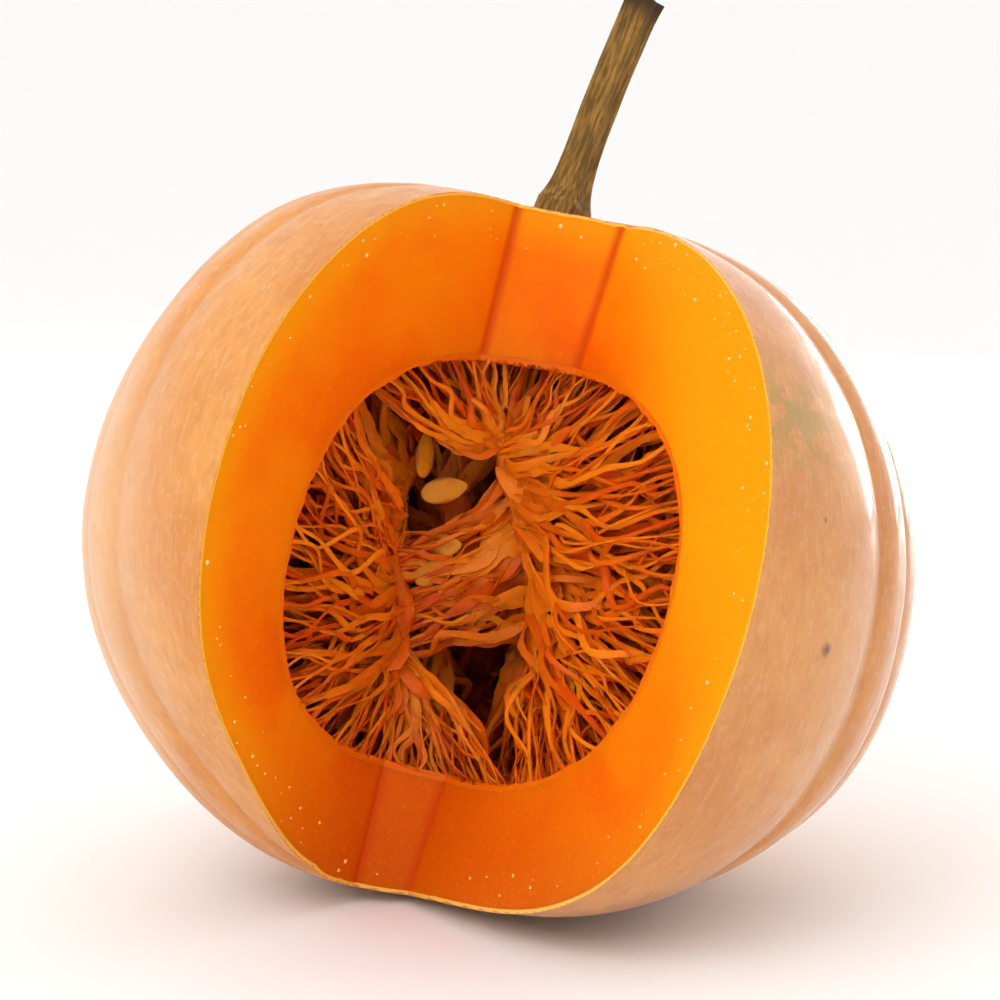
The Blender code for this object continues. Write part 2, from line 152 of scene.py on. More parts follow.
# Stem
STEM_LENGTH = 0.086
STEM_ROOT = 0.010
STEM_RADIUS = 0.0070
STEM_BASE_FLARE = 0.0040
STEM_BASE_FADE = 0.007
STEM_END_FLARE = 0.0008
STEM_END_FADE = 0.006
STEM_RIDGES = 5
STEM_RIDGE_HEIGHT = 0.0009
STEM_SIDES = 120
STEM_RINGS = 160
STEM_FOOT = np.array((0.0285, 0.0262, 0.1305))
STEM_LEAN_RIGHT = math.radians(21.5)
STEM_LEAN_BACK = math.radians(9.0)
STEM_BOW = 0.0012
STEM_FIBRE_HEIGHT = 0.00022
STEM_CAP_SHARE = 0.04
STEM_END_SINK = 0.0012
STEM_END_STAIN = 0.012
STEM_END_STAIN_FADE = 0.010

# Pulp: upright cores, two masses behind the cuts, and strands from the wall to them
CORE_AZIMUTHS = tuple(math.radians(turn) for turn in (-112, -152, 158, 116, 76))
CORE_DISTANCE = 0.044
CORE_RADIUS = 0.0066
CORE_HALF_HEIGHT = 0.036
CORE_WANDER = 0.006
CORE_REACH = 0.85
MASS_RADIUS = 0.0042
MASSES = (
    ((-0.0400, 0.0080, 0.0040), (-0.0350, 0.0060, -0.0440)),
    ((0.0040, 0.0120, 0.0400), (0.0240, 0.0120, -0.0340)),
)
# Strands by how far behind the cuts they leave the wall: nearest, farthest, spacing, half width
FRONT_STRANDS = (
    (0.0006, 0.0035, 0.0032, 0.00066),
    (0.0035, 0.0110, 0.0042, 0.00082),
    (0.0110, 0.0260, 0.0056, 0.00100),
)
DEEP_STRANDS = (0.0260, 0.3000, 0.0100, 0.00125)
CORE_LINKS = 90
MASS_LINKS = 70
STRAND_LEVELS = (0.0, 0.14, 0.32, 0.52, 0.74, 1.0)
LEVEL_STEPS = 4
STRAND_SIDES = 5
STRAND_SAG = 0.05
STRAND_ARCH = 0.10
STRAND_STRAY = 0.05
STRAND_CLEARANCE = 0.0003
STRAND_TWIST = 0.45
STRAND_FOOT_FADE = 0.04
STRAND_UNEVENNESS = 0.12
MEETING_REACH = 0.011
MEETING_NEIGHBOURS = 7
LUMP_MERIDIANS = 36
LUMP_RINGS = 48
LUMP_TONE = 0.45
WEB_SMOOTH_ANGLE = math.radians(80)
# Gaps in the front strands, seen from the front: middle x and z, and radius
POCKETS = (
    (0.0100, 0.0540, 0.0060),
    (0.0330, -0.0100, 0.0060),
    (-0.0178, 0.0222, 0.0090),
    (-0.0245, 0.0350, 0.0060),
)
POCKET_DEPTH = 0.012

# Seeds, and those that the web shows at the front: middle, then turns about Y and Z in degrees
SEED_HALF_WIDTH = 0.0053
SEED_HALF_THICKNESS = 0.0016
SEED_HALF_LENGTH = 0.00925
SEED_MERIDIANS = 28
SEED_RINGS = 26
SHOWN_SEEDS = (
    ((-0.0175, 0.0030, 0.0222), 80, 8),
    ((-0.0250, 0.0045, 0.0360), 8, 48),
    ((-0.0195, 0.0100, -0.0010), 84, -20),
    ((-0.0212, 0.0090, -0.0110), 68, 12),
    ((-0.0440, 0.0000, 0.0040), -38, 40),
    ((-0.0580, -0.0060, 0.0030), -46, 30),
    ((0.0330, 0.0200, 0.0580), 20, -30),
    ((0.0300, 0.0180, 0.0370), 74, -14),
)

# Sap beads
SAP_TRIES = 420
SAP_RIM_START = 0.0015
SAP_RIM_END = 0.016
SAP_FRONT_GAP = 0.003

# Lights, floor and camera
CAMERA_TARGET = Vector((0.0007, -0.0089, 0.1541))
CAMERA_PLACE = Vector((0.0007, -1.2892, 0.3798))
CAMERA_LENS = 120.95
FLOOR_REACH = 80.0
WORLD_STRENGTH = 1.12
FRONT_STRENGTH = 0.60
LIGHT_TARGET = (0.0, 0.0, 0.13)
# Name, place, width, height and power
LIGHTS = (
    ("key_left", (-0.80, -1.10, 1.15), 1.1, 1.1, 9.6),
    ("window_right", (0.84, 1.24, 0.255), 0.73, 0.40, 7.5),
)
ADAPTIVE_THRESHOLD = 0.1
LEAST_SAMPLES = 8
BOUNCES = 6
DIFFUSE_BOUNCES = 3

RANDOM_SEED = 11


# Shape of the body, in numpy arrays


def tilt_matrix(right, back):
    return np.array(Matrix.Rotation(-back, 3, 'X') @ Matrix.Rotation(right, 3, 'Y'))


TILT = tilt_matrix(LEAN_RIGHT, LEAN_BACK)
GROOVE_TURNS = np.array([turn for turn, depth in GROOVES], float)
GROOVE_DEPTHS = np.array([depth for turn, depth in GROOVES])
LOBES = len(GROOVES)


def directions(azimuth, polar):
    across = np.sin(polar)
    return np.stack((across * np.sin(azimuth), -across * np.cos(azimuth), np.cos(polar)), axis=-1)


def angles_of(points):
    """Azimuth, polar angle and distance of points from the origin."""
    distance = np.linalg.norm(points, axis=1)
    polar = np.arccos(np.clip(points[:, 2] / np.maximum(distance, 1e-9), -1, 1))
    return np.arctan2(points[:, 0], -points[:, 1]), polar, distance


def azimuth_of_turn(turn):
    """Spread the meridians so that each lobe has the same number."""
    turns = np.append(GROOVE_TURNS, GROOVE_TURNS[0] + 360)
    return np.radians(np.interp(turn * LOBES, np.arange(LOBES + 1), turns))


def lobe_place(azimuth):
    """Number of the groove to the left, plus the share of the lobe to the right of it."""
    degrees = (np.degrees(azimuth) + 180) % 360 - 180
    turns = np.insert(GROOVE_TURNS, 0, -180.0)
    return np.interp(degrees, turns, np.arange(-1, LOBES))


def relief_at(azimuth):
    place = lobe_place(azimuth)
    left = np.floor(place).astype(int)
    across = place - left
    depth = np.where(across < 0.5, GROOVE_DEPTHS[left % LOBES], GROOVE_DEPTHS[(left + 1) % LOBES])
    return depth * (1 - np.sin(np.pi * across)) ** GROOVE_SHARPNESS


def super_radius(outward, radius, half_height, power):
    across = np.hypot(outward[:, 0], outward[:, 1]) / radius
    along = np.abs(outward[:, 2]) / half_height
    return (across ** power + along ** power) ** (-1 / power)


def body_distance(azimuth, polar):
    outward = directions(azimuth, polar)
    distance = super_radius(outward, BODY_RADIUS, BODY_HALF_HEIGHT, BODY_POWER)
    for turn, elevation, height in SWELLS:
        swell = directions(np.radians(turn), np.radians(90 - elevation))
        apart = np.arccos(np.clip(outward @ swell, -1, 1))
        distance += height * np.exp(-(apart / SWELL_SPREAD) ** 2)
    distance -= STEM_DIMPLE * np.exp(-(polar / DIMPLE_SPREAD) ** 2)
    distance -= BLOSSOM_DIMPLE * np.exp(-((np.pi - polar) / DIMPLE_SPREAD) ** 2)
    return distance - relief_at(azimuth) * np.sin(polar)


def body_points(azimuth, polar, depth):
    distance = body_distance(azimuth, polar) - depth
    return (directions(azimuth, polar) * distance[:, None]) @ TILT.T


def cavity_distance(azimuth, polar):
    return super_radius(directions(azimuth, polar), CAVITY_RADIUS, CAVITY_HALF_HEIGHT, CAVITY_POWER)


def cavity_points(azimuth, polar, depth):
    distance = cavity_distance(azimuth, polar) - depth
    return CAVITY_CENTRE + (directions(azimuth, polar) * distance[:, None]) @ TILT.T


def depth_in_body(points):
    azimuth, polar, distance = angles_of(points @ TILT)
    return body_distance(azimuth, polar) - distance


def depth_behind_cavity(points):
    azimuth, polar, distance = angles_of((points - CAVITY_CENTRE) @ TILT)
    return distance - cavity_distance(azimuth, polar)


def noise_of(points, scale, seed=0.0):
    """Smooth noise, about -1 to 1, at each point."""
    shift = Vector((seed, 2 * seed, 3 * seed))
    return np.array([noise.noise(Vector(point) * scale + shift) for point in points])


# Mesh helpers


def new_object(name, mesh):
    made = bpy.data.objects.new(name, mesh)
    bpy.context.scene.collection.objects.link(made)
    return made


def get_points(mesh):
    points = np.empty(len(mesh.vertices) * 3)
    mesh.vertices.foreach_get("co", points)
    return points.reshape(-1, 3)


def set_points(mesh, points):
    mesh.vertices.foreach_set("co", np.asarray(points, np.float32).ravel())
    mesh.update()


def ball(name, meridians, rings, place):
    """A closed ball whose points place() works out from their turn (0 to 1) and polar angle."""
    bm = bmesh.new()
    bmesh.ops.create_uvsphere(bm, u_segments=meridians, v_segments=rings, radius=1.0)
    mesh = bpy.data.meshes.new(name)
    bm.to_mesh(mesh)
    bm.free()
    points = get_points(mesh)
    turn = (np.arctan2(points[:, 1], points[:, 0]) / (2 * np.pi)) % 1.0
    set_points(mesh, place(turn, np.arccos(np.clip(points[:, 2], -1, 1))))
    return new_object(name, mesh)


def subtract(piece, cutter, keep_cutter=False):
    cut = piece.modifiers.new("cut", 'BOOLEAN')
    cut.operation = 'DIFFERENCE'
    cut.object = cutter
    cut.solver = 'MANIFOLD'
    bpy.context.view_layer.update()
    graph = bpy.context.evaluated_depsgraph_get()
    mesh = bpy.data.meshes.new_from_object(piece.evaluated_get(graph), depsgraph=graph)
    piece.modifiers.clear()
    piece.data = mesh
    if not keep_cutter:
        bpy.data.objects.remove(cutter, do_unlink=True)


def store(mesh, name, values):
    attribute = mesh.attributes.new(name, 'FLOAT', 'POINT')
    attribute.data.foreach_set("value", np.asarray(values, np.float32))


def finish_piece(piece, finish, nodes, smooth_angle=SMOOTH_ANGLE):
    """Move a piece from the body's centre to its place, and hand it to the frame."""
    piece.data.transform(Matrix.Translation(Vector(BODY_CENTRE)))
    piece.data.materials.clear()
    piece.data.materials.append(finish)
    piece.data.shade_smooth()
    piece.data.set_sharp_from_angle(angle=smooth_angle)
    if nodes:
        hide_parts(*nodes)
    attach(piece, "root")


# Knife cuts


def knife_corner(side, height, inset):
    """Where a side cut meets the back cut at a height, with both moved into the flesh by inset."""
    x, lean, azimuth = {
        "left": (LEFT_CUT_X, LEFT_CUT_LEAN, LEFT_CUT_AZIMUTH),
        "right": (RIGHT_CUT_X, RIGHT_CUT_LEAN, RIGHT_CUT_AZIMUTH),
    }[side]
    outwards = -1 if side == "left" else 1
    slide = inset * (abs(math.sin(azimuth)) - 1) / math.cos(azimuth)
    shift = outwards * (inset * math.cos(azimuth) + slide * abs(math.sin(azimuth)))
    return np.stack((
        x + height * math.tan(lean) + shift,
        BACK_CUT_Y + inset + height * math.tan(BACK_CUT_LEAN),
        height,
    ), axis=-1)


def behind_cuts(points):
    """Distance behind the nearest knife cut, negative in the wedge that is gone."""
    height = points[:, 2]
    back_y = BACK_CUT_Y + height * math.tan(BACK_CUT_LEAN)
    behind = (points[:, 1] - back_y) * math.cos(BACK_CUT_LEAN)
    left = LEFT_CUT_X + height * math.tan(LEFT_CUT_LEAN) - points[:, 0]
    left *= math.cos(LEFT_CUT_AZIMUTH)
    left -= (points[:, 1] - back_y) * math.sin(LEFT_CUT_AZIMUTH)
    right = points[:, 0] - RIGHT_CUT_X - height * math.tan(RIGHT_CUT_LEAN)
    right *= math.cos(RIGHT_CUT_AZIMUTH)
    right += (points[:, 1] - back_y) * math.sin(RIGHT_CUT_AZIMUTH)
    return np.maximum(behind, np.maximum(left, right))


def from_knife_lines(points):
    """Distance to the nearer of the two lines where the cuts meet."""
    apart = []
    for side in ("left", "right"):
        corner = knife_corner(side, points[:, 2], 0.0)
        apart.append(np.hypot(*(points - corner)[:, :2].T))
    return np.minimum(*apart)


def knife_block(name, inset, wavy=True):
    """The block that the cuts took out, with the fine waves that the knife left on its sides."""
    side_steps = round(CUT_REACH / CUT_STEP)
    width = RIGHT_CUT_X - LEFT_CUT_X
    back_steps = round(width / CUT_STEP)
    rows = round(2 * CUT_HALF_HEIGHT / CUT_STEP)
    columns = 2 * side_steps + back_steps
    bm = bmesh.new()
    bmesh.ops.create_grid(bm, x_segments=columns, y_segments=rows, size=0.5)
    bm.verts.sort(key=lambda vert: (rows + 1) * columns * vert.co.x + rows * vert.co.y)
    bm.verts.ensure_lookup_table()
    starts = [column * (rows + 1) for column in range(columns + 1)]
    grid = [bm.verts[start:start + rows + 1] for start in starts]
    bm.faces.new([column[0] for column in grid])
    bm.faces.new([column[-1] for column in reversed(grid)])
    bm.faces.new(grid[0][::-1] + grid[-1])
    bm.verts.index_update()

    step = np.repeat(np.arange(columns + 1), rows + 1)
    height = np.tile(np.linspace(-CUT_HALF_HEIGHT, CUT_HALF_HEIGHT, rows + 1), columns + 1)
    left_reach = np.maximum(side_steps - step, 0) * CUT_STEP
    right_reach = np.maximum(step - side_steps - back_steps, 0) * CUT_STEP
    share = np.clip((step - side_steps) / back_steps, 0, 1)[:, None]
    points = (1 - share) * knife_corner("left", height, inset)
    points += share * knife_corner("right", height, inset)
    left_way = np.array((math.sin(LEFT_CUT_AZIMUTH), -math.cos(LEFT_CUT_AZIMUTH), 0))
    right_way = np.array((math.sin(RIGHT_CUT_AZIMUTH), -math.cos(RIGHT_CUT_AZIMUTH), 0))
    points += left_reach[:, None] * left_way + right_reach[:, None] * right_way
    if wavy:
        into_flesh = np.where(right_reach[:, None] > 0, (1, 0, 0), (0, 1, 0))
        into_flesh = np.where(left_reach[:, None] > 0, (-1, 0, 0), into_flesh)
        from_front = points[:, 1] + BODY_CENTRE[1] - cad_low[1]
        fade = np.clip(from_knife_lines(points) / CORNER_FADE, 0, 1)
        fade *= np.clip(from_front / FRONT_FADE, 0, 1)
        wave = CUT_WAVE * noise_of(points, CUT_WAVE_SCALE)
        wave += CUT_GRAIN * noise_of(points, CUT_GRAIN_SCALE, 3.0)
        points += into_flesh * (fade * wave)[:, None]
    for vert, point in zip(bm.verts, points):
        vert.co = point
    bmesh.ops.recalc_face_normals(bm, faces=bm.faces)
    mesh = bpy.data.meshes.new(name)
    bm.to_mesh(mesh)
    bm.free()
    return new_object(name, mesh)


# Materials


def colour(red, green, blue):
    """Linear colour from its display values, 0 to 255."""
    values = [value / 255 for value in (red, green, blue)]
    linear = [value / 12.92 if value < 0.04045 else ((value + 0.055) / 1.055) ** 2.4 for value in values]
    return (*linear, 1.0)


def new_material(name):
    made = bpy.data.materials.new(name)
    made.use_nodes = True
    return made, made.node_tree, made.node_tree.nodes["Principled BSDF"]


def feed(tree, value, socket):
    """Link a socket to another one, or set it to a plain value."""
    if isinstance(value, bpy.types.NodeSocket):
        tree.links.new(value, socket)
    else:
        socket.default_value = value


def mixed(tree, share, first, second, blend='MIX'):
    made = tree.nodes.new("ShaderNodeMix")
    made.data_type = 'RGBA'
    made.blend_type = blend
    feed(tree, share, made.inputs[0])
    feed(tree, first, made.inputs[6])
    feed(tree, second, made.inputs[7])
    return made.outputs[2]


def ranged(tree, value, low, high, first=0.0, last=1.0):
    """A value taken from low..high to first..last, smoothly, and held there."""
    made = tree.nodes.new("ShaderNodeMapRange")
    made.interpolation_type = 'SMOOTHSTEP'
    feed(tree, value, made.inputs["Value"])
    for name, number in (("From Min", low), ("From Max", high), ("To Min", first), ("To Max", last)):
        made.inputs[name].default_value = number
    return made.outputs[0]


def maths(tree, operation, first, second=0.0):
    made = tree.nodes.new("ShaderNodeMath")
    made.operation = operation
    feed(tree, first, made.inputs[0])
    feed(tree, second, made.inputs[1])
    return made.outputs[0]


def noisy(tree, vector, scale, detail=2.0, roughness=0.5, distortion=0.0):
    made = tree.nodes.new("ShaderNodeTexNoise")
    feed(tree, vector, made.inputs["Vector"])
    made.inputs["Scale"].default_value = scale
    made.inputs["Detail"].default_value = detail
    made.inputs["Roughness"].default_value = roughness
    made.inputs["Distortion"].default_value = distortion
    return made.outputs[0]


def stretched(tree, vector, scale):
    made = tree.nodes.new("ShaderNodeMapping")
    feed(tree, vector, made.inputs["Vector"])
    made.inputs["Scale"].default_value = scale
    return made.outputs[0]


def attribute(tree, name, output="Fac"):
    made = tree.nodes.new("ShaderNodeAttribute")
    made.attribute_name = name
    return made.outputs[output]


def place_of(tree):
    return tree.nodes.new("ShaderNodeTexCoord").outputs["Object"]


def axis_of(tree, name):
    parted = tree.nodes.new("ShaderNodeSeparateXYZ")
    feed(tree, place_of(tree), parted.inputs[0])
    return parted.outputs[name]


def near(tree, spot, radius):
    """1 at a spot of the body, fading to 0 at the radius."""
    made = tree.nodes.new("ShaderNodeVectorMath")
    made.operation = 'DISTANCE'
    tree.links.new(place_of(tree), made.inputs[0])
    made.inputs[1].default_value = Vector(BODY_CENTRE) + Vector(spot)
    return ranged(tree, made.outputs["Value"], 0.0, radius, 1.0, 0.0)


def bumped(tree, height, distance, strength=1.0, under=None):
    made = tree.nodes.new("ShaderNodeBump")
    made.inputs["Strength"].default_value = strength
    made.inputs["Distance"].default_value = distance
    feed(tree, height, made.inputs["Height"])
    if under is not None:
        tree.links.new(under, made.inputs["Normal"])
    return made.outputs[0]


def through_light(shader, weight, radius, scale):
    shader.inputs["Subsurface Weight"].default_value = weight
    shader.inputs["Subsurface Radius"].default_value = radius
    shader.inputs["Subsurface Scale"].default_value = scale


# Brown marks on the skin: place and radius
SPECKS = (
    ((0.1207, -0.1056, -0.0169), 0.0042),
    ((0.1203, -0.1011, 0.0295), 0.0016),
)

PEACH = colour(220, 146, 64)
TAN = colour(206, 126, 44)
RUSSET = colour(190, 106, 38)
# Pale waxy bloom of the skin; towards the left limb it is also painted light
BLOOM_AND_LIMB_LIGHT = colour(236, 196, 158)
# A faint green patch on the right shoulder: place and radius
OLIVE_SPOT = ((0.1090, -0.0915, 0.0650), 0.036)

OLIVE = colour(150, 132, 52)
BROWN = colour(92, 52, 26)
PALE_RIM = colour(255, 190, 70)
ORANGE = colour(245, 115, 4)
YELLOW_ORANGE = colour(255, 158, 10)
DEEP_ORANGE = colour(237, 101, 3)
# Painted shade colour for the lower cut faces
SHADED_LOW_ORANGE = colour(210, 84, 3)
# Painted shadow colour along the lines where the cuts meet
CORNER_SHADOW_ORANGE = colour(214, 70, 8)
CAVITY_ORANGE = colour(214, 74, 6)
LINING_LIGHT = colour(242, 108, 6)
LINING_DARK = colour(150, 26, 3)
WEB_LIGHT = colour(252, 132, 20)
WEB_DARK = colour(208, 62, 5)
SEED_FACE = colour(214, 138, 24)
SEED_EDGE = colour(160, 88, 12)
SEED_STAIN = colour(190, 84, 10)
BARK_DARK = colour(98, 68, 26)
BARK_LIGHT = colour(162, 120, 56)
BARK_BLOTCH = colour(96, 78, 32)
BARK_END = colour(70, 48, 24)
SAP_DARK = colour(255, 190, 90)
SAP_LIGHT = colour(255, 222, 150)


def rind_material():
    made, tree, shader = new_material("rind_skin")
    place = place_of(tree)
    skin = attribute(tree, "skin", "Vector")
    clouds = noisy(tree, place, 16, 4.0, 0.6)
    base = mixed(tree, ranged(tree, clouds, 0.35, 0.65), TAN, PEACH)
    brushed = noisy(tree, stretched(tree, skin, (30, 30, 15)), 1.0, 6.0, 0.68, 0.8)
    base = mixed(tree, ranged(tree, brushed, 0.40, 0.72, 0.0, 0.45), base, RUSSET)
    streaks = noisy(tree, stretched(tree, skin, (110, 110, 16)), 1.0, 4.0, 0.6)
    base = mixed(tree, ranged(tree, streaks, 0.50, 0.72, 0.0, 0.20), base, BLOOM_AND_LIMB_LIGHT)
    # Paler towards the left limb: partly the skin's waxy bloom, partly painted light standing in for the
    # bright limb
    base = mixed(tree, ranged(tree, axis_of(tree, "X"), -0.158, -0.105, 0.60, 0.06), base, BLOOM_AND_LIMB_LIGHT)
    freckles = noisy(tree, place, 260, 3.0, 0.6)
    base = mixed(tree, ranged(tree, freckles, 0.52, 0.70, 0.0, 0.14), base, BLOOM_AND_LIMB_LIGHT)
    base = mixed(tree, ranged(tree, attribute(tree, "groove"), 0.0, 1.0, 0.0, 0.12), base, RUSSET)
    ragged = ranged(tree, noisy(tree, place, 150, 3.0, 0.6), 0.40, 0.58)
    patch = maths(tree, 'MULTIPLY', near(tree, *OLIVE_SPOT), ragged)
    base = mixed(tree, maths(tree, 'MULTIPLY', patch, 0.65), base, OLIVE)
    torn = maths(tree, 'MULTIPLY', noisy(tree, place, 700, 3.0, 0.7), 2.0)
    for spot, radius in SPECKS:
        base = mixed(tree, maths(tree, 'MULTIPLY', near(tree, spot, radius), torn), base, BROWN)
    depth = attribute(tree, "depth")
    base = mixed(tree, ranged(tree, depth, 0.00005, 0.00025), base, PALE_RIM)
    base = mixed(tree, ranged(tree, depth, 0.0010, 0.0018), base, YELLOW_ORANGE)
    tree.links.new(base, shader.inputs["Base Color"])
    wear = ranged(tree, noisy(tree, place, 90, 4.0, 0.6), 0.35, 0.65, 0.34, 0.50)
    tree.links.new(wear, shader.inputs["Roughness"])
    pores = bumped(tree, freckles, 0.00010)
    tree.links.new(bumped(tree, brushed, 0.00025, 1.0, pores), shader.inputs["Normal"])
    shader.inputs["Specular IOR Level"].default_value = 0.25
    feed(tree, ranged(tree, axis_of(tree, "X"), -0.06, 0.10, 0.12, 0.80), shader.inputs["Coat Weight"])
    shader.inputs["Coat Roughness"].default_value = 0.10
    shader.inputs["Sheen Weight"].default_value = 0.18
    shader.inputs["Sheen Roughness"].default_value = 0.3
    shader.inputs["Sheen Tint"].default_value = (1.0, 0.86, 0.74, 1.0)
    through_light(shader, 0.15, (1.0, 0.45, 0.2), 0.004)
    return made


def flesh_material():
    made, tree, shader = new_material("flesh_cut")
    place = place_of(tree)
    skin_depth = attribute(tree, "skin_depth")
    cavity_depth = attribute(tree, "cavity_depth")
    broad = noisy(tree, place, 22, 3.0, 0.5)
    base = mixed(tree, ranged(tree, cavity_depth, 0.0, 0.034), DEEP_ORANGE, ORANGE)
    base = mixed(tree, ranged(tree, skin_depth, 0.0, 0.020, 0.65, 0.0), base, YELLOW_ORANGE)
    # Painted light: the upper right of the cut faces is painted yellower, as if lit more strongly from
    # the left
    right = ranged(tree, axis_of(tree, "X"), 0.035, 0.075, 0.0, 0.95)
    upper = ranged(tree, axis_of(tree, "Z"), 0.05, 0.16)
    base = mixed(tree, maths(tree, 'MULTIPLY', right, upper), base, YELLOW_ORANGE)
    base = mixed(tree, ranged(tree, broad, 0.40, 0.62, 0.0, 0.30), base, YELLOW_ORANGE)
    # Painted shade: the cut faces are painted darker towards the bottom
    base = mixed(tree, ranged(tree, axis_of(tree, "Z"), 0.01, 0.10, 0.90, 0.0), base, SHADED_LOW_ORANGE)
    grain = noisy(tree, place, 700, 2.0, 0.6)
    base = mixed(tree, ranged(tree, grain, 0.55, 0.75, 0.0, 0.25), base, YELLOW_ORANGE)
    # Painted shadow: a soft dark red-orange strip along the lines where the cuts meet
    knife_line = ranged(tree, attribute(tree, "knife_line"), 0.0, 0.0042, 0.80, 0.0)
    base = mixed(tree, knife_line, base, CORNER_SHADOW_ORANGE)
    behind = ranged(tree, attribute(tree, "behind"), 0.0006, 0.0040)
    base = mixed(tree, behind, base, CAVITY_ORANGE)
    tree.links.new(base, shader.inputs["Base Color"])
    fibres = noisy(tree, place, 240, 4.0, 0.6)
    under = bumped(tree, fibres, 0.0003)
    tree.links.new(bumped(tree, grain, 0.00012, 1.0, under), shader.inputs["Normal"])
    shader.inputs["Roughness"].default_value = 0.45
    shader.inputs["Specular IOR Level"].default_value = 0.06
    through_light(shader, 0.35, (1.0, 0.40, 0.08), 0.010)
    return made


def pulp_material(name, light, dark, roughness):
    made, tree, shader = new_material(name)
    place = place_of(tree)
    mottle = noisy(tree, place, 120, 3.0, 0.6)
    tone = maths(tree, 'ADD', attribute(tree, "tone"), maths(tree, 'MULTIPLY', mottle, 0.4))
    base = mixed(tree, ranged(tree, tone, 0.2, 1.1), dark, light)
    tree.links.new(base, shader.inputs["Base Color"])
    fibres = noisy(tree, place, 900, 2.0, 0.6)
    tree.links.new(bumped(tree, fibres, 0.00015), shader.inputs["Normal"])
    shader.inputs["Roughness"].default_value = roughness
    shader.inputs["Specular IOR Level"].default_value = 0.12
    shader.inputs["Coat Weight"].default_value = 0.04
    shader.inputs["Coat Roughness"].default_value = 0.12
    through_light(shader, 0.35, (1.0, 0.30, 0.05), 0.004)
    return made


def seed_material():
    made, tree, shader = new_material("seed_skin")
    place = place_of(tree)
    base = mixed(tree, ranged(tree, attribute(tree, "edge"), 0.0, 1.0), SEED_FACE, SEED_EDGE)
    stain = noisy(tree, place, 130, 3.0, 0.6)
    base = mixed(tree, ranged(tree, stain, 0.48, 0.70, 0.0, 0.6), base, SEED_STAIN)
    tree.links.new(base, shader.inputs["Base Color"])
    grain = noisy(tree, place, 900, 2.0, 0.6)
    tree.links.new(bumped(tree, grain, 0.00008), shader.inputs["Normal"])
    shader.inputs["Roughness"].default_value = 0.34
    shader.inputs["Specular IOR Level"].default_value = 0.20
    shader.inputs["Coat Weight"].default_value = 0.05
    shader.inputs["Coat Roughness"].default_value = 0.12
    through_light(shader, 0.2, (1.0, 0.5, 0.15), 0.003)
    return made


def stem_material():
    made, tree, shader = new_material("stem_bark")
    along = attribute(tree, "bark", "Vector")
    fibres = noisy(tree, stretched(tree, along, (1, 1, 0.10)), 900, 4.0, 0.65)
    blotches = noisy(tree, stretched(tree, along, (1, 1, 0.45)), 170, 3.0, 0.6)
    base = mixed(tree, ranged(tree, fibres, 0.35, 0.68), BARK_DARK, BARK_LIGHT)
    base = mixed(tree, ranged(tree, blotches, 0.48, 0.66, 0.0, 0.55), base, BARK_BLOTCH)
    base = mixed(tree, ranged(tree, attribute(tree, "cut_end"), 0.0, 1.0), base, BARK_END)
    tree.links.new(base, shader.inputs["Base Color"])
    tree.links.new(bumped(tree, fibres, 0.0004), shader.inputs["Normal"])
    shader.inputs["Roughness"].default_value = 0.72
    shader.inputs["Specular IOR Level"].default_value = 0.20
    return made


def sap_material():
    made, tree, shader = new_material("sap")
    tint = noisy(tree, place_of(tree), 300, 2.0)
    base = mixed(tree, ranged(tree, tint, 0.3, 0.7), SAP_DARK, SAP_LIGHT)
    tree.links.new(base, shader.inputs["Base Color"])
    shader.inputs["Roughness"].default_value = 0.15
    return made


# Rind and flesh


def skin_relief(azimuth, polar):
    """Shallow dents and long ripples of the skin, always inwards."""
    around = directions(azimuth, polar)
    dents = SKIN_DENT * (1 + noise_of(around, 5.0, 2.0))
    fine = np.stack((30 * np.cos(azimuth), 30 * np.sin(azimuth), 5 * polar), axis=-1)
    ripples = SKIN_RIPPLE * (1 + noise_of(fine, 1.0, 5.0))
    return SKIN_INSET + (dents + ripples) * np.clip((SMOOTH_BELOW - polar) / SMOOTH_FADE, 0, 1)


def skin_place(turn, polar):
    azimuth = azimuth_of_turn(turn)
    points = body_points(azimuth, polar, skin_relief(azimuth, polar))
    points[:, 2] = np.maximum(points[:, 2], -BODY_CENTRE[2])
    return points


def under_skin_place(turn, polar):
    points = body_points(azimuth_of_turn(turn), polar, RIND_THICKNESS)
    points[:, 2] = np.maximum(points[:, 2], RIND_THICKNESS - BODY_CENTRE[2])
    return points


def under_skin(name):
    return ball(name, LOBES * INNER_STEPS_PER_LOBE, INNER_RINGS, under_skin_place)


def make_rind(finish):
    rind = ball("rind_skin", LOBES * STEPS_PER_LOBE, SKIN_RINGS, skin_place)
    subtract(rind, under_skin("under_skin"))
    subtract(rind, knife_block("knife_block", 0.0))
    points = get_points(rind.data)
    azimuth, polar, distance = angles_of(points @ TILT)
    depth = body_distance(azimuth, polar) - distance
    store(rind.data, "depth", np.maximum(depth - RIM_START, 0) * RIM_STRETCH)
    place = lobe_place(azimuth)
    groove = np.abs(place - np.round(place)) * 2
    store(rind.data, "groove", (1 - groove) ** 3 * np.sin(polar))
    skin = np.stack((np.cos(azimuth), np.sin(azimuth), polar), axis=-1)
    vector = rind.data.attributes.new("skin", 'FLOAT_VECTOR', 'POINT')
    vector.data.foreach_set("vector", skin.astype(np.float32).ravel())
    finish_piece(rind, finish, ["rind"])


def cavity_place(turn, polar, clearance=0.0):
    azimuth = turn * 2 * np.pi
    around = directions(azimuth, polar)
    rough = CAVITY_ROUGHNESS * (noise_of(around, 14.0) + 0.5 * noise_of(around, 45.0, 4.0))
    return cavity_points(azimuth, polar, rough + clearance)


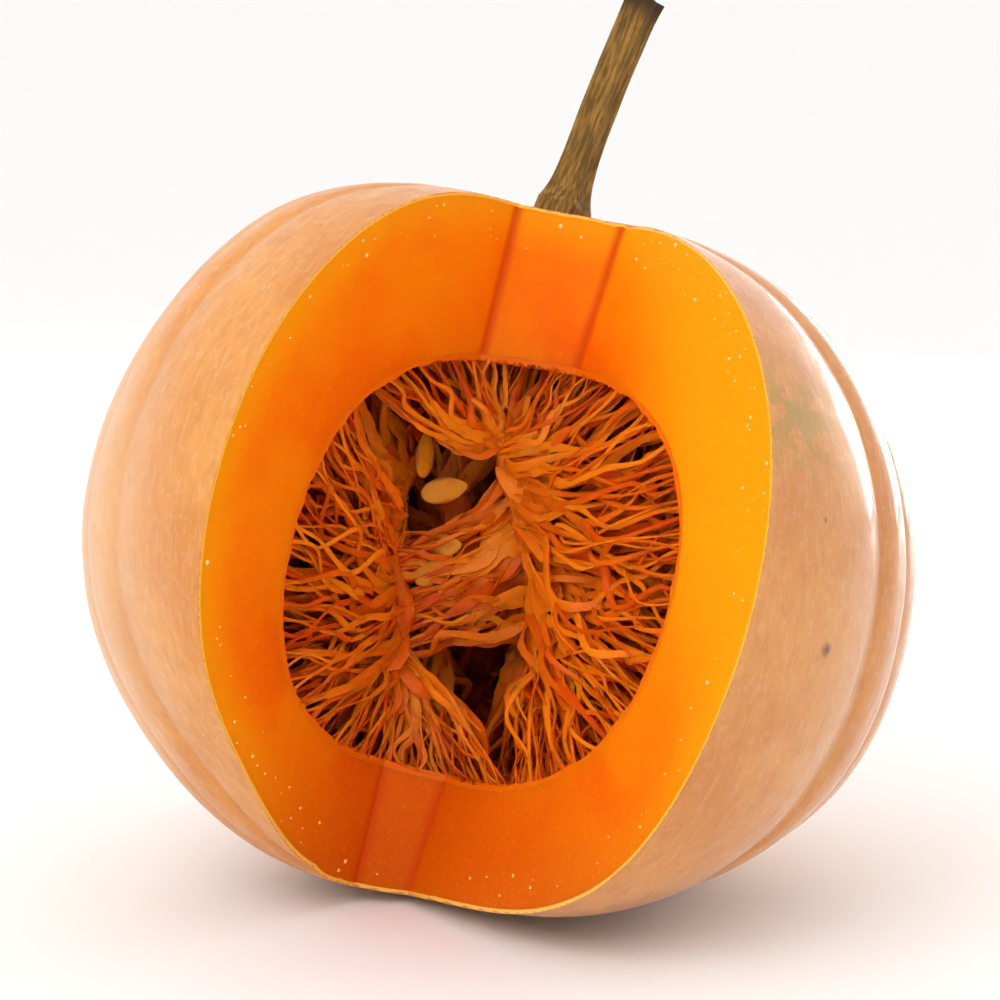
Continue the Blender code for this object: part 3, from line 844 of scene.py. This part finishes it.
def make_flesh(finish):
    flesh = under_skin("flesh_cut")
    subtract(flesh, ball("cavity", CAVITY_MERIDIANS, CAVITY_RINGS, cavity_place))
    subtract(flesh, knife_block("knife_block", 0.0))
    points = get_points(flesh.data)
    store(flesh.data, "skin_depth", depth_in_body(points) - RIND_THICKNESS)
    store(flesh.data, "cavity_depth", depth_behind_cavity(points))
    store(flesh.data, "behind", behind_cuts(points))
    store(flesh.data, "knife_line", from_knife_lines(points))
    finish_piece(flesh, finish, ["flesh"])
    return flesh


# Pulp


def lining_place(turn, polar):
    """Inner face of the lining, with a raised net of fibres drawn out along the meridians."""
    azimuth = turn * 2 * np.pi
    spots = np.stack((11 * np.cos(azimuth), 11 * np.sin(azimuth), 4.5 * polar), axis=-1)
    net = np.empty(len(spots))
    for index, spot in enumerate(spots):
        near_cell, next_cell = noise.voronoi(Vector(spot))[0][:2]
        net[index] = math.exp(-(next_cell - near_cell) * 6)
    return cavity_points(azimuth, polar, LINING_THICKNESS - LINING_NET + LINING_NET * net)


def lining_outer_place(turn, polar):
    return cavity_place(turn, polar, LINING_CLEARANCE)


def make_lining(finish):
    lining = ball("pulp_lining", CAVITY_MERIDIANS, CAVITY_RINGS, lining_outer_place)
    subtract(lining, ball("lining_hollow", CAVITY_MERIDIANS, CAVITY_RINGS, lining_place))
    subtract(lining, knife_block("knife_block", LINING_RECESS, wavy=False))
    points = get_points(lining.data)
    raised = (-depth_behind_cavity(points) - LINING_THICKNESS + LINING_NET) / LINING_NET
    # Tone of the lining: lighter on its raised net of fibres, and painted light along the cut edge,
    # where the recessed lining would lie in shade
    painted_light_at_cut = np.exp(-behind_cuts(points) / LINING_EDGE_FADE)
    store(lining.data, "tone", 0.15 + 0.5 * np.clip(raised, 0, 1) + 1.2 * painted_light_at_cut)
    finish_piece(lining, finish, [])


def core_points(core_azimuth, height):
    distance = CORE_DISTANCE + CORE_WANDER * np.sin(2.4 * height + core_azimuth * 3.0)
    local = np.stack((
        distance * np.sin(core_azimuth),
        -distance * np.cos(core_azimuth),
        CORE_HALF_HEIGHT * height,
    ), axis=-1)
    return CAVITY_CENTRE + local @ TILT.T


def scattered(spacing, rng):
    """Azimuths and polar angles spread evenly over a ball of the cavity's size."""
    radius = 0.5 * (CAVITY_RADIUS + CAVITY_HALF_HEIGHT)
    rows = max(2, round(math.pi * radius / spacing))
    azimuth, polar = [], []
    for row in range(rows):
        middle = math.pi * (row + 0.5) / rows
        columns = max(1, round(2 * math.pi * radius * math.sin(middle) / spacing))
        azimuth.append((np.arange(columns) + rng.uniform(0, 1, columns)) / columns * 2 * np.pi)
        polar.append(math.pi * (row + rng.uniform(0, 1, columns)) / rows)
    return np.concatenate(azimuth), np.concatenate(polar)


def wall_points(nearest, farthest, spacing, rng):
    """Points on the cavity's wall that lie between two distances behind the cuts."""
    azimuth, polar = scattered(spacing, rng)
    wall = cavity_points(azimuth, polar, LINING_THICKNESS * 0.4)
    behind = behind_cuts(wall)
    return wall[(behind > nearest) & (behind < farthest)]


def core_lines():
    """Top and bottom of each upright core."""
    reach = np.array((CORE_REACH, -CORE_REACH))
    return [core_points(azimuth, reach) for azimuth in CORE_AZIMUTHS]


def ends_on(lines, starts):
    """A point on the nearest line for each start, as high up the line as the start is up the wall."""
    lines = np.array(lines)
    down = np.clip(0.5 - 0.5 * (starts[:, 2] - CAVITY_CENTRE[2]) / CAVITY_HALF_HEIGHT, 0, 1)
    along = lines[:, None, 0] + (lines[:, 1] - lines[:, 0])[:, None] * down[None, :, None]
    nearest = np.argmin(np.linalg.norm(along - starts, axis=2), axis=0)
    return along[nearest, np.arange(len(starts))]


def inward_paths(starts, ends, rng):
    """Middle lines that leave the wall squarely and bend to their ends, one point at each level."""
    share = np.array(STRAND_LEVELS)[None, :, None]
    length = np.linalg.norm(ends - starts, axis=1)[:, None, None]
    inwards = CAVITY_CENTRE - starts
    inwards /= np.linalg.norm(inwards, axis=1, keepdims=True)
    paths = starts[:, None] * (1 - share) + ends[:, None] * share
    paths += STRAND_ARCH * length * np.sin(np.pi * share) * inwards[:, None]
    paths[:, :, 2] -= (STRAND_SAG * length * np.sin(np.pi * share))[:, :, 0]
    paths += rng.normal(0, STRAND_STRAY, paths.shape) * length * np.sin(np.pi * share)
    return paths


def meet_neighbours(paths, rng):
    """Draw each strand to a near one at every level, each time another, so that they form a net."""
    last = np.full(len(paths), -1)
    for level in range(1, len(STRAND_LEVELS) - 1):
        points = paths[:, level].copy()
        tree = KDTree(len(points))
        for index, point in enumerate(points):
            tree.insert(point, index)
        tree.balance()
        partner = np.full(len(paths), -1)
        for index in rng.permutation(len(paths)):
            for spot, other, apart in tree.find_n(points[index], MEETING_NEIGHBOURS):
                free = partner[index] < 0 and partner[other] < 0
                if free and other not in (index, last[index]) and apart < MEETING_REACH:
                    partner[index], partner[other] = other, index
                    paths[[index, other], level] = (points[index] + points[other]) / 2
        last = partner
    return paths


def smoothed(paths):
    """Points of a smooth curve through each path's points."""
    padded = np.concatenate((paths[:, :1], paths, paths[:, -1:]), axis=1)
    slope = (padded[:, 2:] - padded[:, :-2])[:, :, None] / 2
    share = (np.arange(LEVEL_STEPS) / LEVEL_STEPS)[None, None, :, None]
    first, last = paths[:, :-1, None], paths[:, 1:, None]
    curve = first + (last - first) * share ** 2 * (3 - 2 * share)
    curve = curve + slope[:, :-1] * share * (1 - share) ** 2
    curve = curve - slope[:, 1:] * share ** 2 * (1 - share)
    return np.concatenate((curve.reshape(len(paths), -1, 3), paths[:, -1:]), axis=1)


def behind_the_cuts(paths):
    """The paths that stay behind the knife cuts and out of the pockets."""
    behind = behind_cuts(paths.reshape(-1, 3)).reshape(paths.shape[:2])
    clear = behind.min(axis=1) > STRAND_CLEARANCE
    for x, z, radius in POCKETS:
        apart = np.hypot(paths[:, :, 0] - x, paths[:, :, 2] - z)
        clear &= ((apart > radius) | (behind > POCKET_DEPTH)).all(axis=1)
    return paths[clear]


def cut_facing(points):
    """Unit direction away from the nearest knife cut, into the flesh."""
    step = 0.0005
    steps = step * np.eye(3)
    slope = [behind_cuts(points + way) - behind_cuts(points - way) for way in steps]
    return np.stack(slope, axis=1) / np.linalg.norm(slope, axis=0)[:, None]


def unit(vectors):
    return vectors / np.linalg.norm(vectors, axis=-1, keepdims=True)


def tube_faces(rings):
    """Faces of one closed tube: its rings of points come first, then its two end points."""
    last = (rings - 1) * STRAND_SIDES
    quads, ends = [], []
    for side in range(STRAND_SIDES):
        other = (side + 1) % STRAND_SIDES
        for low in range(0, last, STRAND_SIDES):
            high = low + STRAND_SIDES
            quads.append((low + side, low + other, high + other, high + side))
        ends.append((last + STRAND_SIDES, other, side))
        ends.append((last + STRAND_SIDES + 1, last + side, last + other))
    return np.array(quads), np.array(ends)


def strands(starts, ends, half_width, rng):
    """Points, faces and tones of flat ribbons from the starts to the ends, which meet on the way."""
    paths = behind_the_cuts(smoothed(meet_neighbours(inward_paths(starts, ends, rng), rng)))
    count, rings = paths.shape[:2]
    along = unit(np.gradient(paths, axis=1))
    facing = cut_facing(paths.reshape(-1, 3)).reshape(paths.shape)
    facing = facing + rng.normal(0, STRAND_TWIST, (count, 1, 3))
    wide = unit(np.cross(along, facing))
    thin = np.cross(wide, along)
    share = np.linspace(0, 1, rings)
    growth = 0.60 + 1.2 * share ** 1.5 + 0.9 * np.exp(-share / STRAND_FOOT_FADE)
    size = half_width * rng.uniform(0.45, 1.5, (count, 1)) * growth
    size = size * (1 + STRAND_UNEVENNESS * rng.normal(0, 1, size.shape))
    flatness = rng.uniform(1.1, 1.9, (count, 1)) * (0.8 + 0.5 * share)
    turn = np.arange(STRAND_SIDES) * 2 * np.pi / STRAND_SIDES
    ring = wide[:, :, None] * np.cos(turn)[:, None] * (size * flatness)[..., None, None]
    ring = ring + thin[:, :, None] * np.sin(turn)[:, None] * (size / flatness)[..., None, None]
    tube = (paths[:, :, None] + ring).reshape(count, -1, 3)
    points = np.concatenate((tube, paths[:, :1], paths[:, -1:]), axis=1)
    quads, caps = tube_faces(rings)
    shift = (np.arange(count) * points.shape[1])[:, None, None]
    faces = (quads + shift).reshape(-1, 4).tolist()
    faces += (caps + shift).reshape(-1, 3).tolist()
    tone = rng.uniform(0.1, 0.75, (count, 1)) + 0.30 * share
    tone = np.concatenate((np.repeat(tone, STRAND_SIDES, axis=1), tone[:, :1], tone[:, -1:]), axis=1)
    return points.reshape(-1, 3), faces, tone.ravel()


def lump(middle_line, radius, phase):
    """Points, faces and tones of a knobby upright mass around middle_line(height), height -1 to 1."""
    bm = bmesh.new()
    bmesh.ops.create_uvsphere(bm, u_segments=LUMP_MERIDIANS, v_segments=LUMP_RINGS, radius=1.0)
    points = np.array([vert.co for vert in bm.verts])
    faces = [[vert.index for vert in face.verts] for face in bm.faces]
    bm.free()
    height = points[:, 2]
    around = np.arctan2(points[:, 1], points[:, 0])
    knobs = 1 + 0.25 * np.sin(3 * around + 4 * height + phase) + 0.2 * np.sin(9 * height + 2 * phase)
    knobs += 0.12 * np.sin(14 * around + 3 * np.sin(5 * height))
    side = np.stack((points[:, 0], points[:, 1], 0 * height), axis=-1)
    side = side * (radius * knobs)[:, None]
    return middle_line(height) + side @ TILT.T, faces, np.full(len(points), LUMP_TONE)


def core_lump(index):
    return lump(lambda height: core_points(CORE_AZIMUTHS[index], height), CORE_RADIUS, index)


def mass_lump(index):
    top, bottom = np.array(MASSES[index])
    middle, half = (top + bottom) / 2, (top - bottom) / 2
    return lump(lambda height: middle + half * height[:, None], MASS_RADIUS, index)


def core_links(rng):
    """Strands that tie the masses behind the cuts to the cores further back."""
    azimuth = rng.choice(CORE_AZIMUTHS, CORE_LINKS)
    height = rng.uniform(-1, 1, CORE_LINKS)
    spots = zip(azimuth, height)
    starts = np.concatenate([core_points(turn, np.array([up])) for turn, up in spots])
    return strands(starts, ends_on(MASSES, starts), FRONT_STRANDS[-1][-1], rng)


def mass_links(rng):
    """Strands from one mass to the other, across the middle of the cavity."""
    left, middle = np.array(MASSES)
    down = rng.uniform(0, 1, (2, MASS_LINKS, 1))
    down[1] = 0.5 * (down[0] + down[1])
    starts = left[0] + (left[1] - left[0]) * down[0]
    ends = middle[0] + (middle[1] - middle[0]) * down[1]
    drop = rng.uniform(0, 0.016, (MASS_LINKS, 1)) * np.array((0, 1, -1))
    return strands(starts, ends + drop, FRONT_STRANDS[-1][-1], rng)


def joined(name, meshes, finish, nodes):
    """One piece of the web from lists of points, faces and tones."""
    all_faces, start = [], 0
    for points, faces, tones in meshes:
        all_faces += [[start + corner for corner in face] for face in faces]
        start += len(points)
    all_points = np.concatenate([points for points, faces, tones in meshes])
    mesh = bpy.data.meshes.new(name)
    mesh.from_pydata(all_points.tolist(), [], all_faces)
    store(mesh, "tone", np.concatenate([tones for points, faces, tones in meshes]))
    finish_piece(new_object(name, mesh), finish, nodes, WEB_SMOOTH_ANGLE)


def make_web(finish):
    rng = np.random.default_rng(RANDOM_SEED)
    front = []
    for nearest, farthest, spacing, half_width in FRONT_STRANDS:
        starts = wall_points(nearest, farthest, spacing, rng)
        front.append(strands(starts, ends_on(MASSES, starts), half_width, rng))
    front.append(mass_links(rng))
    front += [mass_lump(index) for index in range(len(MASSES))]
    joined("pulp_web", front, finish, ["pulp"])
    nearest, farthest, spacing, half_width = DEEP_STRANDS
    starts = wall_points(nearest, farthest, spacing, rng)
    deep = [strands(starts, ends_on(core_lines(), starts), half_width, rng), core_links(rng)]
    deep += [core_lump(index) for index in range(len(CORE_AZIMUTHS))]
    joined("pulp_web_deep", deep, finish, [])


# Seeds


def seed_frame(node):
    """Middle and turn of a seed, from the node that it stands for: width, thickness, length."""
    points = get_points(node.data)
    middle = points.mean(axis=0)
    spread, axes = np.linalg.eigh(np.cov((points - middle).T))
    thin, wide, long = axes.T
    local = (points - middle) @ np.stack((wide, thin, long), axis=1)
    tip = np.abs(local[local[:, 2] > 0.002][:, 0]).mean()
    tail = np.abs(local[local[:, 2] < -0.002][:, 0]).mean()
    if tip > tail:
        long = -long
    return middle, np.stack((np.cross(thin, long), thin, long), axis=1)


def seed_points(turn, polar):
    """A plump flat seed with a raised margin, its point at +Z."""
    height = np.cos(polar)
    slim = 1 - 0.36 * np.maximum(height, 0) ** 1.3
    across = np.sin(polar) * np.cos(2 * np.pi * turn)
    through = np.sin(polar) * np.sin(2 * np.pi * turn)
    margin = np.exp(-((np.abs(across) - 0.82) / 0.10) ** 2)
    plump = through * (0.72 + 0.28 * (1 - across ** 2)) + 0.10 * margin * np.sign(through)
    return np.stack((
        across * SEED_HALF_WIDTH * slim,
        plump * SEED_HALF_THICKNESS * slim,
        height * SEED_HALF_LENGTH,
    ), axis=-1)


def seed_ball(name):
    """A seed about its own middle, with its edge marked."""
    seed = ball(name, SEED_MERIDIANS, SEED_RINGS, seed_points)
    across = np.abs(get_points(seed.data)[:, 0]) / SEED_HALF_WIDTH
    store(seed.data, "edge", np.clip((across - 0.6) / 0.35, 0, 1))
    return seed


def make_seeds(finish):
    names = sorted(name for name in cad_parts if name.startswith("seed_"))
    for name in names:
        middle, turn = seed_frame(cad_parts[name])
        seed = seed_ball(name.replace("seed_", "seed_skin_"))
        set_points(seed.data, middle - BODY_CENTRE + get_points(seed.data) @ turn.T)
        finish_piece(seed, finish, [name])
    for index, (middle, about_y, about_z) in enumerate(SHOWN_SEEDS):
        seed = seed_ball(f"shown_seed_{index + 1}")
        turn = Matrix.Rotation(math.radians(about_z), 3, 'Z')
        turn = turn @ Matrix.Rotation(math.radians(about_y), 3, 'Y')
        set_points(seed.data, np.array(middle) + get_points(seed.data) @ np.array(turn).T)
        finish_piece(seed, finish, [])


# Stem


def stem_place(turn, polar):
    """A ridged, fibrous, slightly bowed stem; the ball's poles become its flat ends."""
    share = np.clip(1 - polar / np.pi, 0, 1)
    cap = STEM_CAP_SHARE
    along_share = np.clip((share - cap) / (1 - 2 * cap), 0, 1)
    inwards = np.minimum(np.clip(share / cap, 0, 1), np.clip((1 - share) / cap, 0, 1))
    along = along_share * (STEM_LENGTH + STEM_ROOT) - STEM_ROOT
    above = np.maximum(along, 0)
    around = turn * 2 * np.pi
    flare = STEM_BASE_FLARE * np.exp(-above / STEM_BASE_FADE)
    flare += STEM_END_FLARE * np.exp(-(STEM_LENGTH - along) / STEM_END_FADE)
    ridge = STEM_RIDGE_HEIGHT * np.cos(STEM_RIDGES * around)
    spots = np.stack((np.cos(around) * 9, np.sin(around) * 9, along * 60), axis=-1)
    fibres = STEM_FIBRE_HEIGHT * (noise_of(spots, 1.0) - 1)
    wide = (STEM_RADIUS + flare + ridge + fibres) * inwards
    bow = STEM_BOW * np.sin(np.pi * above / STEM_LENGTH)
    sunk = np.where(share > 0.5, (1 - inwards) ** 0.5 * STEM_END_SINK, 0)
    points = np.stack((wide * np.cos(around) - bow, wide * np.sin(around), along - sunk), axis=-1)
    return STEM_FOOT + points @ tilt_matrix(STEM_LEAN_RIGHT, STEM_LEAN_BACK).T


def make_stem(finish):
    stem = ball("stem_bark", STEM_SIDES, STEM_RINGS, stem_place)
    local = (get_points(stem.data) - STEM_FOOT) @ tilt_matrix(STEM_LEAN_RIGHT, STEM_LEAN_BACK)
    bark = stem.data.attributes.new("bark", 'FLOAT_VECTOR', 'POINT')
    bark.data.foreach_set("vector", local.astype(np.float32).ravel())
    stained = (local[:, 2] - STEM_LENGTH + STEM_END_STAIN) / STEM_END_STAIN_FADE
    store(stem.data, "cut_end", np.clip(stained, 0, 1))
    finish_piece(stem, finish, ["stem"])


# Sap beads on the cut faces


def stored(mesh, name):
    values = np.empty(len(mesh.vertices), np.float32)
    mesh.attributes[name].data.foreach_get("value", values)
    return values


def make_sap(flesh, finish):
    """Beads near the rim of the cut faces, most of them in the upper right."""
    rng = random.Random(RANDOM_SEED)
    mesh = flesh.data
    skin_depth = stored(mesh, "skin_depth")
    near_rim = (skin_depth > SAP_RIM_START) & (skin_depth < SAP_RIM_END)
    near_rim &= (stored(mesh, "behind") < 0.0006) & (stored(mesh, "knife_line") > 0.006)
    near_rim &= get_points(mesh)[:, 1] > cad_low[1] + SAP_FRONT_GAP
    choices = np.flatnonzero(near_rim).tolist()
    bm = bmesh.new()
    for bead in range(SAP_TRIES):
        vert = mesh.vertices[rng.choice(choices)]
        if rng.random() > 0.25 + 3.5 * max(vert.co.x, 0) * (vert.co.z > 0.16):
            continue
        size = rng.uniform(0.00025, 0.00085) * rng.random() + 0.0002
        squash = Matrix.Diagonal((size, size, size * 0.6, 1))
        turn = vert.normal.to_track_quat('Z', 'Y').to_matrix().to_4x4()
        place = Matrix.Translation(vert.co) @ turn @ squash
        bmesh.ops.create_icosphere(bm, subdivisions=2, radius=1.0, matrix=place)
    beads = bpy.data.meshes.new("sap_beads")
    bm.to_mesh(beads)
    bm.free()
    piece = new_object("sap_beads", beads)
    piece.data.materials.append(finish)
    piece.data.shade_smooth()
    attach(piece, "root")


# Floor, lights and camera


def make_floor():
    bm = bmesh.new()
    bmesh.ops.create_grid(bm, x_segments=1, y_segments=1, size=FLOOR_REACH)
    mesh = bpy.data.meshes.new("floor")
    bm.to_mesh(mesh)
    bm.free()
    floor = new_object("floor", mesh)
    made, tree, shader = new_material("floor_paper")
    shader.inputs["Base Color"].default_value = (0.90, 0.89, 0.88, 1.0)
    shader.inputs["Roughness"].default_value = 0.9
    floor.data.materials.append(made)


def soft_light(name, place, width, height, power):
    data = bpy.data.lights.new(name, 'AREA')
    data.shape = 'RECTANGLE'
    data.size = width
    data.size_y = height
    data.energy = power
    light = bpy.data.objects.new(name, data)
    light.location = place
    light.visible_camera = False
    light.rotation_mode = 'QUATERNION'
    light.rotation_quaternion = (Vector(LIGHT_TARGET) - Vector(place)).to_track_quat('-Z', 'Y')
    bpy.context.scene.collection.objects.link(light)


def make_lights():
    world = bpy.data.worlds.new("studio")
    world.use_nodes = True
    tree = world.node_tree
    background = tree.nodes["Background"]
    background.inputs["Color"].default_value = (1.0, 0.99, 0.98, 1.0)
    way = tree.nodes.new("ShaderNodeSeparateXYZ")
    feed(tree, tree.nodes.new("ShaderNodeTexCoord").outputs["Generated"], way.inputs[0])
    front = ranged(tree, way.outputs["Y"], -0.85, 0.0, 1.0, 0.0)
    low = ranged(tree, way.outputs["Z"], 0.25, 0.75, 1.0, 0.0)
    low_front = maths(tree, 'MULTIPLY', front, low)
    dimmed = maths(tree, 'MULTIPLY', low_front, WORLD_STRENGTH - FRONT_STRENGTH)
    feed(tree, maths(tree, 'SUBTRACT', WORLD_STRENGTH, dimmed), background.inputs["Strength"])
    bpy.context.scene.world = world
    for settings in LIGHTS:
        soft_light(*settings)


def make_camera():
    data = bpy.data.cameras.new("camera")
    data.lens = CAMERA_LENS
    data.sensor_width = 36
    camera = bpy.data.objects.new("camera", data)
    camera.location = CAMERA_PLACE
    camera.rotation_mode = 'QUATERNION'
    camera.rotation_quaternion = (CAMERA_TARGET - CAMERA_PLACE).to_track_quat('-Z', 'Y')
    bpy.context.scene.collection.objects.link(camera)
    bpy.context.scene.camera = camera
    bpy.context.scene.view_settings.view_transform = 'Standard'


def set_quality():
    """Let clean pixels stop early and light end after a few bounces, so that a render stays short."""
    cycles = bpy.context.scene.cycles
    cycles.use_adaptive_sampling = True
    cycles.adaptive_threshold = ADAPTIVE_THRESHOLD
    cycles.adaptive_min_samples = LEAST_SAMPLES
    cycles.max_bounces = BOUNCES
    cycles.diffuse_bounces = DIFFUSE_BOUNCES


make_camera()
set_quality()
make_lights()
make_floor()
make_rind(rind_material())
flesh = make_flesh(flesh_material())
make_lining(pulp_material("pulp_lining", LINING_LIGHT, LINING_DARK, 0.45))
make_web(pulp_material("pulp_web", WEB_LIGHT, WEB_DARK, 0.38))
make_seeds(seed_material())
make_stem(stem_material())
make_sap(flesh, sap_material())
